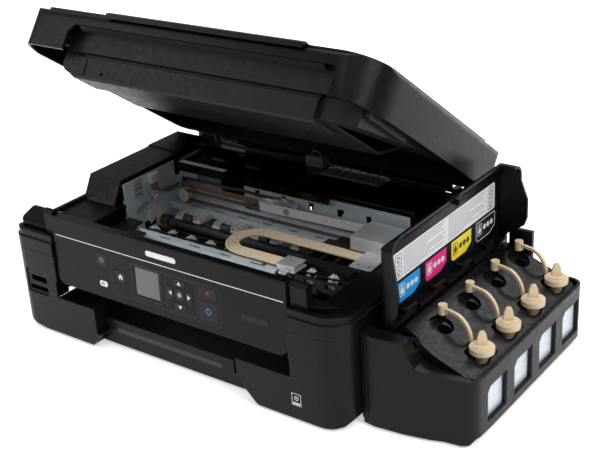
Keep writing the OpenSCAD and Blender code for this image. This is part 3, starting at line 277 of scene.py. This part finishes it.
# ---------------------------------------------------------------- mesh pieces
class Shape:
    """Collects solids in millimetres of one local frame, then becomes one named piece."""

    def __init__(self, space=BODY):
        self.bm, self.space = bmesh.new(), space

    def prism(self, outline, low, high, axis="z", slot=0):
        """A polygon in the plane across axis, drawn out from low to high."""
        place = {"x": lambda a, b, c: (c, a, b), "y": lambda a, b, c: (a, c, b),
                 "z": lambda a, b, c: (a, b, c)}[axis]
        rings = [[self.bm.verts.new(place(a, b, c)) for a, b in outline] for c in (low, high)]
        made = [self.bm.faces.new(rings[0][::-1]), self.bm.faces.new(rings[1])]
        n = len(outline)
        made += [self.bm.faces.new((rings[0][i], rings[0][(i + 1) % n], rings[1][(i + 1) % n], rings[1][i]))
                 for i in range(n)]
        for f in made:
            f.material_index = slot
        return self

    def box(self, x0, y0, z0, x1, y1, z1, slot=0):
        return self.prism([(x0, y0), (x1, y0), (x1, y1), (x0, y1)], z0, z1, slot=slot)

    def disc(self, a, b, radius, low, high, axis="z", n=24, slot=0):
        turns = [2 * math.pi * i / n for i in range(n)]
        return self.prism([(a + radius * math.cos(t), b + radius * math.sin(t)) for t in turns],
                          low, high, axis, slot)

    def ring(self, a, b, inner, outer, low, high, axis="z", n=28, start=0.0, sweep=360.0, slot=0):
        """A flat ring or an open arc of one."""
        steps = [math.radians(start + sweep * i / n) for i in range(n + 1)]
        for s, e in zip(steps, steps[1:]):
            self.prism([(a + r * math.cos(t), b + r * math.sin(t)) for r, t in
                        ((inner, s), (outer, s), (outer, e), (inner, e))], low, high, axis, slot)
        return self

    def frame(self, a0, b0, a1, b1, width, low, high, axis="z", radius=1.2, slot=0):
        """A thin rounded outline."""
        outer = rounded(a0, b0, a1, b1, radius)
        inner = rounded(a0 + width, b0 + width, a1 - width, b1 - width, max(radius - width, 0.05))
        for i in range(len(outer)):
            j = (i + 1) % len(outer)
            self.prism([outer[i], outer[j], inner[j], inner[i]], low, high, axis, slot)
        return self

    def tube(self, points, radius, n=10, slot=0):
        """A round wire through the points."""
        pts = [Vector(p) for p in points]
        side = None
        rings = []
        for i, p in enumerate(pts):
            along = (pts[min(i + 1, len(pts) - 1)] - pts[max(i - 1, 0)]).normalized()
            if side is None:
                side = along.orthogonal().normalized()
            side = (side - along * side.dot(along)).normalized()
            other = along.cross(side)
            turns = [2 * math.pi * k / n for k in range(n)]
            rings.append([self.bm.verts.new(p + radius * (side * math.cos(t) + other * math.sin(t)))
                          for t in turns])
        made = [self.bm.faces.new(rings[0][::-1]), self.bm.faces.new(rings[-1])]
        for a, b in zip(rings, rings[1:]):
            made += [self.bm.faces.new((a[k], a[(k + 1) % n], b[(k + 1) % n], b[k])) for k in range(n)]
        for f in made:
            f.material_index = slot
        return self

    def spring(self, start, end, radius, wire, turns, n=14):
        """A coil spring between two points."""
        a, b = Vector(start), Vector(end)
        along = (b - a).normalized()
        u = along.orthogonal().normalized()
        v = along.cross(u)
        count = int(turns * n)
        step = 2 * math.pi / n
        pts = [a + (b - a) * i / count + radius * (u * math.cos(step * i) + v * math.sin(step * i))
               for i in range(count + 1)]
        return self.tube(pts, wire, 6)

    def piece(self, name, body, *materials, bevel=0.15, slot=None):
        """Ends the shape as an object that rides on a body."""
        bmesh.ops.recalc_face_normals(self.bm, faces=self.bm.faces)
        mesh = bpy.data.meshes.new(name)
        self.bm.to_mesh(mesh)
        self.bm.free()
        mesh.transform(self.space)
        for key in materials:
            mesh.materials.append(MAT[key])
        obj = bpy.data.objects.new(name, mesh)
        bpy.context.scene.collection.objects.link(obj)
        for f in mesh.polygons:
            f.use_smooth = True
        if bevel:
            mod = obj.modifiers.new("bevel", "BEVEL")
            mod.width, mod.segments, mod.limit_method = bevel * MM, 2, "ANGLE"
            mod.angle_limit = PIECE_SHARP
            mod.harden_normals = False
        mesh.set_sharp_from_angle(angle=PIECE_SHARP)
        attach(obj, body)
        return obj


def rounded(a0, b0, a1, b1, radius, n=5):
    """Corner points of a rounded rectangle."""
    pts = []
    for ca, cb, start in ((a0 + radius, b0 + radius, 180), (a1 - radius, b0 + radius, 270),
                          (a1 - radius, b1 - radius, 0), (a0 + radius, b1 - radius, 90)):
        pts += [(ca + radius * math.cos(math.radians(start + 90 * i / n)),
                 cb + radius * math.sin(math.radians(start + 90 * i / n))) for i in range(n + 1)]
    return pts


# ---- control panel: stripe, outlines, badge and key symbols
INK0, INK1 = -0.09, 0.02  # printed parts stand this far out of the panel face
s = Shape(PANEL)
s.prism(rounded(60.5, 111.1, 331, 111.9, 0.35), INK0, INK1, "y")
s.piece("panel_stripe", "control_panel", "print_white", bevel=0, slot="cable_white")

s = Shape(PANEL)
s.frame(131.6, 67.8, 262.4, 105, 0.35, INK0, INK1, "y", 3)
s.frame(157, 71.4, 192.7, 104, 0.4, INK0, INK1, "y", 1.4)
s.frame(199.2, 69.8, 235, 103.8, 0.35, INK0, INK1, "y", 3.4)
s.frame(114, 93, 126, 105, 0.3, INK0, INK1, "y", 2)
s.frame(237.2, 91.7, 258.8, 103.8, 0.3, INK0, INK1, "y", 1.6)
s.frame(237.2, 70.2, 258.8, 90.3, 0.3, INK0, INK1, "y", 1.6)
s.piece("panel_outlines", "control_panel", "print_faint", bevel=0, slot="panel_black")

s = Shape(PANEL)
s.prism(rounded(177.5, 117.2, 213.5, 122.6, 2.6), -0.35, 0.05, "y")
s.frame(179, 118.4, 212, 121.4, 0.35, -0.5, -0.3, "y", 1.4)
s.piece("front_badge", "control_panel", "badge", bevel=0.12, slot="cable_white")

s = Shape(PANEL)
s.prism(rounded(285.7, 82.8, 314.2, 89.2, 0.8), -0.25, 0.05, "y")
s.frame(286.6, 83.7, 313.3, 88.3, 0.3, -0.4, -0.2, "y", 0.6)
s.piece("name_plate", "control_panel", "gloss", bevel=0.1, slot="panel_black")

s = Shape(PANEL)
s.prism(rounded(114.6, 71.6, 124.8, 77.4, 2.4), INK0, INK1, "y")
s.disc(117.6, 74.5, 0.8, -0.16, INK1, "y", slot=1)
s.ring(117.6, 74.5, 1.5, 1.9, -0.16, INK1, "y", 8, -50, 100, slot=1)
s.ring(117.6, 74.5, 2.5, 2.9, -0.16, INK1, "y", 8, -45, 90, slot=1)
s.piece("wireless_mark", "control_panel", "print_white", "print_dark", bevel=0, slot="cable_white")

KEY, KEY_TOP = -0.29, -0.15  # depths of the symbols on the key faces


def symbol(name, node, key="print_white", draw=None):
    shape = Shape(PANEL)
    draw(shape)
    shape.piece(name, node, key, bevel=0, slot="keys")


def tri(points):
    return lambda sh: sh.prism(points, KEY, KEY_TOP, "y")


symbol("power_symbol", "power_button", "print_grey", lambda sh: (
    sh.ring(120, 99, 2.0, 2.5, KEY, KEY_TOP, "y", 22, 120, 300), sh.box(119.75, KEY, 99.2, 120.25, KEY_TOP, 102)))
symbol("home_symbol", "home_button", "print_white", lambda sh: (
    sh.prism([(140, 86.9), (143, 90), (146, 86.9), (145.1, 86.9), (145.1, 84.6), (143.8, 84.6), (143.8, 86.4),
              (142.2, 86.4), (142.2, 84.6), (140.9, 84.6), (140.9, 86.9)], KEY, KEY_TOP, "y")))
symbol("up_symbol", "up_button", "print_white", tri([(212.6, 97.2), (217.4, 97.2), (215, 100.6)]))
symbol("down_symbol", "down_button", "print_white", tri([(212.6, 76.8), (215, 73.4), (217.4, 76.8)]))
symbol("left_symbol", "left_button", "print_white", tri([(205.6, 85.1), (205.6, 89.9), (202.2, 87.5)]))
symbol("right_symbol", "right_button", "print_white", tri([(224.4, 85.1), (227.8, 87.5), (224.4, 89.9)]))
symbol("ok_symbol", "ok_button", "print_white", lambda sh: (
    sh.ring(215, 87.5, 1.5, 2.1, KEY, KEY_TOP, "y", 24), sh.disc(215, 87.5, 0.6, KEY, KEY_TOP, "y", 12)))
symbol("stop_symbol", "stop_button", "red", lambda sh: (
    sh.ring(248, 97.8, 1.9, 2.5, KEY, KEY_TOP, "y", 3, 60, 360), sh.disc(248, 97.8, 0.7, KEY, KEY_TOP, "y", 3)))
symbol("start_symbol", "start_button", "blue", lambda sh: (
    sh.ring(248, 80, 2.7, 3.6, KEY, KEY_TOP, "y", 4, 0, 360)))

# small outlined mark on the right cheek, with a plain dot pattern in place of a printed sign
MARK, MARK_BACK = -0.12, 0.05
s = Shape()
s.frame(336.2, 16, 346, 28, 0.5, MARK, MARK_BACK, "y", 0.5)
s.box(337.4, MARK, 17.2, 344.8, MARK_BACK, 19)
s.ring(341.1, 23.3, 1.6, 2.3, MARK, MARK_BACK, "y", 22)
s.disc(341.1, 23.3, 0.6, MARK, MARK_BACK, "y", 12)
s.piece("cheek_mark", "printer_body", "print_white", bevel=0, slot="cable_white")
s = Shape()
for i in range(3):
    s.box(15.6 + i * 3, 1.4, 61.6, 17.4 + i * 3, 1.52, 63.4)
s.disc(38, 63, 1.0, 1.38, 1.52, "y", 16)
s.piece("card_slot_marks", "printer_body", "print_faint", bevel=0, slot="cable_white")

# ---- tank cover label and tags, drawn on the closed cover's inner side
# closed cover coordinates: x runs up the opened cover, y along it, the inner skin faces down at z 96.1
SKIN = 96.1
PAPER = 0.3  # thickness of the label and tags
PRINT_LOW, PRINT_HIGH = SKIN - 0.42, SKIN - 0.29  # printing on them
TAG_PITCH = 45.2


def cov(outline, depth, thick, shape, slot=0):
    shape.prism(outline, SKIN - depth - thick, SKIN - depth, "z", slot)


s = Shape(COVER)
cov(rounded(436.5, 61, 462.5, 238, 2.2), 0, PAPER, s)
for y0, y1 in ((76, 146), (151, 221)):
    for k, reach in enumerate((1, 0.96, 0.9, 0.99, 0.55, 1, 0.93, 0.98, 0.62, 0.95, 0.4)):
        x, end = 460.2 - k * 2.1, y0 + (y1 - y0) * reach
        cov([(x - 0.45, y0), (x + 0.25, y0), (x + 0.25, end), (x - 0.45, end)], 0.29, 0.12, s, 1)
for y0 in (63.5, 224.5):
    for x0 in (438.6, 450.2):
        s.frame(x0, y0, x0 + 10, y0 + 10, 0.5, PRINT_LOW, PRINT_HIGH, "z", 0.6, slot=2)
        s.ring(x0 + 5, y0 + 5, 1.8, 2.6, PRINT_LOW, PRINT_HIGH, "z", 14, slot=2)
        cov([(x0 + 1.4, y0 + 4.4), (x0 + 3, y0 + 4.4), (x0 + 3, y0 + 5.6), (x0 + 1.4, y0 + 5.6)], 0.29, 0.12, s, 2)
s.piece("cover_label", "tank_cover", "label", "print_grey", "print_dark", bevel=0, slot="cable_white")
for i, key in enumerate(("cyan", "magenta", "yellow", "print_dark")):
    y0 = 66.5 + i * TAG_PITCH
    tag = [(414.6, y0 + 3), (414.6, y0 + 26), (420, y0 + 36), (433.4, y0 + 36), (433.4, y0), (417, y0)]
    ink = "print_dark" if key == "yellow" else "print_white"
    s = Shape(COVER)
    cov(tag, 0, PAPER, s)
    s.frame(419.6, y0 + 2.6, 430.6, y0 + 11, 0.7, PRINT_LOW, PRINT_HIGH, "z", 1.2, slot=1)
    drop = [(424 + 2.6 * math.cos(t), y0 + 6.8 + 2.6 * math.sin(t)) for t in
            (math.radians(a) for a in range(40, 330, 20))]
    cov([(429.4, y0 + 6.8)] + drop, 0.29, 0.12, s, 1)
    for k in range(3):
        s.disc(425, y0 + 16.2 + k * 6.6, 2.7, PRINT_LOW, PRINT_HIGH, "z", 18, slot=1)
    s.piece("ink_tag_%d" % (i + 1), "tank_cover", key, ink, bevel=0, slot="cable_white")
    if key == "print_dark":
        s = Shape(COVER)
        for a, b in zip(tag, tag[1:] + tag[:1]):
            along = (Vector(b) - Vector(a)).normalized() * 0.35
            side = Vector((-along.y, along.x))
            quad = [Vector(a) - along - side, Vector(b) + along - side, Vector(b) + along + side,
                    Vector(a) - along + side]
            cov([tuple(q) for q in quad], 0.29, 0.14, s)
        s.piece("black_tag_outline", "tank_cover", "print_white", bevel=0, slot="cable_white")

# ---- tank unit: level lines on the windows, with a small triangle beside each
WINDOW_IN, WINDOW_OUT = 485.42, 485.6
TANK_Y, TANK_PITCH = 64.6, 47.5
for i in range(4):
    y0 = TANK_Y + TANK_PITCH * i
    s = Shape()
    for z in (41.2, 21.2):
        s.box(WINDOW_IN, y0 + 1.6, z, WINDOW_OUT, y0 + 7.2, z + 0.5)
    s.prism([(y0 + 3.2, 43.6), (y0 + 5.6, 43.6), (y0 + 4.4, 42.2)], WINDOW_IN, WINDOW_OUT, "x")
    s.prism([(y0 + 3.2, 19.2), (y0 + 5.6, 19.2), (y0 + 4.4, 20.6)], WINDOW_IN, WINDOW_OUT, "x")
    s.piece("level_marks_%d" % (i + 1), "printer_body", "print_grey", bevel=0, slot="tank_clear")

# ---- inside the bay
STEEL_X = 51.2  # inner face of the left side plate
s = Shape()
s.box(STEEL_X - 0.05, 121, 99.5, STEEL_X + 0.14, 136, 121)
for k, bar in enumerate((0.7, 1.2, 0.5, 0.9, 1.3, 0.6, 1.1, 0.5, 0.9)):
    z = 101 + k * 2.15
    s.box(STEEL_X + 0.12, 123, z, STEEL_X + 0.2, 134, z + bar, slot=1)
s.piece("serial_label", "printer_body", "label", "print_dark", bevel=0, slot="cable_white")

s = Shape()
s.box(STEEL_X - 0.1, 143, 110.5, STEEL_X + 6, 156, 120.5)
for k in range(5):
    s.box(STEEL_X + 1.6, 144.4 + k * 2.3, 108.9, STEEL_X + 4.6, 145.6 + k * 2.3, 112, slot=1)
s.box(STEEL_X + 5.8, 145.5, 112, STEEL_X + 6.8, 153.5, 119)
s.piece("sensor_connector", "printer_body", "white", "print_dark", bevel=0.25, slot="holder_white")
s = Shape()
for k in range(4):
    s.tube([(STEEL_X + 3, 145.5 + k * 2.3, 111), (STEEL_X + 3.4, 147 + k * 2.4, 104 - k),
            (STEEL_X + 4.4, 154 + k * 1.8, 99 - k), (STEEL_X + 3, 166 + k, 97 - 1.4 * k),
            (STEEL_X + 2.4, 178, 96 - 1.2 * k), (STEEL_X + 2.4, 188, 96 - 1.2 * k)], 0.55, 8)
s.piece("sensor_wires", "printer_body", "wire", bevel=0, slot="mechanism_black")

s = Shape()
s.box(54, 189.5, 118.96, 116, 195.5, 119.12)
for k in range(24):
    s.box(57 + k * 2.2, 191, 119.1, 57 + k * 2.2 + (0.8, 1.2, 0.5)[k % 3], 194, 119.16, slot=1)
s.piece("deck_label_strip", "printer_body", "label", "print_grey", bevel=0, slot="cable_white")

# white bushing of the feed roller, its lever and two small springs on the side plate
s = Shape()
s.ring(158, 64, 3.6, 9.2, STEEL_X + 0.05, 53.8, "x", 30)
s.prism([(150, 70), (146, 84), (148, 96), (154, 99), (160, 92), (164, 78), (166, 70)], STEEL_X + 0.05, 52.8, "x")
s.ring(153, 92, 1.4, 3.4, 52.6, 54.6, "x", 18)
s.prism([(140, 66), (138, 76), (142, 82), (147, 80), (148, 70)], STEEL_X + 0.05, 53, "x")
s.piece("feed_bushing", "printer_body", "white", bevel=0.2, slot="holder_white")
s = Shape()
s.spring((53.6, 120, 86), (53.6, 138, 92), 1.5, 0.3, 9)
s.spring((53.6, 172, 92), (53.6, 184, 95), 1.3, 0.28, 7)
s.piece("bay_springs", "printer_body", "screw", bevel=0, slot="motor_steel")

# row of star-wheel clips along the paper exit
s = Shape()
for i in range(10):
    x = 84 + i * 24.5
    s.prism([(104, 69.6), (104, 78), (107, 81.5), (114, 80.6), (116, 76), (112.5, 74.4), (109, 75), (107.4, 69.6)],
            x, x + 5.2, "x")
    s.ring(111.4, 72.2, 0.7, 2.9, x + 1.8, x + 2.6, "x", 12)
    s.box(x + 0.8, 105, 77, x + 1.5, 113, 83)
    s.box(x + 3.7, 105, 77, x + 4.4, 113, 83)
s.piece("star_wheel_clips", "printer_body", "white", bevel=0.15, slot="holder_white")
s = Shape()
s.box(80, 104.2, 80.8, 332, 107, 82)
for i in range(16):
    x = 82 + i * 15.6
    s.prism([(104.4, 76), (104.4, 81), (120, 78.5), (120, 77.3)], x, x + 1.2, "x")
s.box(80, 119.2, 76.6, 332, 121, 79)
s.piece("paper_guide_frame", "printer_body", "mech", bevel=0.2, slot="mechanism_black")

# position sensor board and wiring on the rear wall
s = Shape()
s.box(143, 187.6, 84.5, 157, 188.6, 92.5)
s.box(146, 186.7, 86, 152, 187.8, 90, slot=1)
for k in range(6):
    s.box(144.4 + k * 2, 187.1, 91, 145.2 + k * 2, 187.7, 92.2, slot=2)
s.piece("position_sensor", "printer_body", "board", "print_dark", "brass", bevel=0.1, slot="board_green")
s = Shape()
for k in range(3):
    s.tube([(58, 188.6, 100 + 1.4 * k), (74, 188.3, 101 + 1.4 * k), (96, 188.4, 102.4 + 1.3 * k),
            (118, 188.2, 101 + 1.3 * k), (140, 188.4, 102.6 + 1.2 * k), (163, 188.3, 101.6 + 1.2 * k),
            (190, 188.5, 102.5 + k)], 0.6, 8)
s.piece("rear_wires", "printer_body", "print_dark", bevel=0, slot="mechanism_black")

# plain mark and clear retainer on the ribbon
s = Shape(BODY @ Matrix.Translation((206, 174.98, 98.7)) @ Matrix.Rotation(math.radians(2.1), 4, "Z"))
s.ring(0, 0, 2.5, 3.1, -0.12, 0.1, "y", 24)
for k in (-0.9, 0.9):
    s.prism([(-2.2 + k, -2.2), (-1.6 + k, -2.2), (2.2 + k, 2.2), (1.6 + k, 2.2)], -0.12, 0.1, "y")
s.piece("ribbon_mark", "printer_body", "print_dark", bevel=0, slot="mechanism_black")
s = Shape()
s.prism([(181, 92.4), (181, 105), (182.2, 106.4), (187.4, 106.4), (187.4, 105.2), (183, 105.2), (182.2, 104.4),
         (182.2, 92.4)], 186, 208, "x")
s.piece("ribbon_retainer", "printer_body", "clear", bevel=0.2, slot="holder_white")

# cable plate, clip box and damper behind the deck
s = Shape()
s.prism(rounded(207, 232, 280, 255.4, 2), 119.05, 119.5, "z")
for k in range(6):
    s.box(212 + k * 11, 233.5, 119.45, 221 + k * 11, 254.4, 120.5)
s.piece("cable_plate", "printer_body", "clip", bevel=0.2, slot="mechanism_black")
s = Shape()
s.prism([(245.6, 119.1), (245.6, 127.5), (247.4, 129.6), (255.4, 129.6), (256.6, 127), (256.6, 119.1)],
        181, 203, "x")
s.box(184, 245.2, 121, 190, 245.8, 127)
s.box(193, 245.2, 121, 199.6, 245.8, 127)
s.tube([(186, 251, 129.3), (186, 251, 133), (188, 250.4, 134.6), (194, 249.8, 135.4), (197, 249.6, 134),
        (198, 249.6, 129.3)], 0.8, 8)
s.piece("cable_clip", "printer_body", "clip", bevel=0.35, slot="mechanism_black")
s = Shape()
s.disc(273, 114, 6.2, 48, 72, "x", 30)
for x in (52, 64):
    s.ring(273, 114, 4.4, 6.9, x, x + 3, "x", 30)
s.disc(273, 114, 2.2, 44, 76, "x", 20)
for x in (46, 72):
    s.prism([(266, 100.6), (268, 110), (273, 113), (279, 110), (281, 100.6)], x, x + 2.4, "x")
s.piece("lid_damper", "printer_body", "mech", bevel=0.3, slot="mechanism_black")

# dark strip standing in the gap behind the deck's rear edge: painted shade where the gap reads dark
s = Shape()
s.box(56, 254.2, 112, 341, 256.4, 120.9)
s.piece("deck_rear_shade_strip", "printer_body", "gloss", bevel=0.3, slot="mechanism_black")

# screws that hold the metalwork and the tank deck
s = Shape()
for x, y, z in ((70, 182, 77.4), (180, 186, 77.4), (332, 186, 77.4), (78, 93, 84), (240, 93, 84)):
    s.disc(x, y, 2.5, z - 0.2, z + 1.1, "z", 20)
    s.box(x - 1.6, y - 0.25, z + 1.05, x + 1.6, y + 0.25, z + 1.3, slot=1)
    s.box(x - 0.25, y - 1.6, z + 1.05, x + 0.25, y + 1.6, z + 1.3, slot=1)
s.piece("bay_screws", "printer_body", "screw", "print_dark", bevel=0.2, slot="motor_steel")

# ---- floor, world, lights
floor = bpy.data.objects.new("floor", bpy.data.meshes.new("floor"))
bpy.context.scene.collection.objects.link(floor)
bm = bmesh.new()
bmesh.ops.create_grid(bm, x_segments=4, y_segments=4, size=12)
bm.to_mesh(floor.data)
bm.free()
floor.location.z = -0.0004
floor.data.materials.append(material("floor_paper", (0.9, 0.9, 0.9), 0.9, grain=300, depth=0.02, spread=0.004,
                                     spec=0.1, wear=0.0, edge=0.0001))
glow = floor.data.materials[0].node_tree.nodes["Principled BSDF"]
glow.inputs["Emission Color"].default_value = (1, 1, 1, 1)
glow.inputs["Emission Strength"].default_value = 0.5

world = bpy.data.worlds.new("studio")
bpy.context.scene.world = world
world.use_nodes = True
sky = world.node_tree.nodes["Background"]
sky.inputs["Color"].default_value = (1, 1, 1, 1)
sky.inputs["Strength"].default_value = 0.29


def light(name, kind, energy, place, aim, size=(1, 1), angle=None):
    data = bpy.data.lights.new(name, kind)
    data.energy = energy
    if kind == "AREA":
        data.shape = "RECTANGLE"
        data.size, data.size_y = size
    if angle is not None:
        data.angle = math.radians(angle)
    obj = bpy.data.objects.new(name, data)
    bpy.context.scene.collection.objects.link(obj)
    obj.location = place
    obj.rotation_euler = (Vector(aim) - Vector(place)).to_track_quat("-Z", "Y").to_euler()


light("overhead_sun", "SUN", 1.5, (0.3, -0.4, 3), (0, 0, 0), angle=60)
light("key_softbox", "AREA", 19, (1.5, -0.4, 1.6), (0.1, 0, 0.15), (0.7, 1.1))
light("left_softbox", "AREA", 6, (-1.5, -1.1, 1.2), (0, 0, 0.12), (0.8, 1.0))
light("back_softbox", "AREA", 12, (-0.2, 1.5, 1.5), (0, 0, 0.2), (1.6, 0.6))
bpy.context.scene.view_settings.view_transform = "Standard"
bpy.context.scene.view_settings.look = "None"
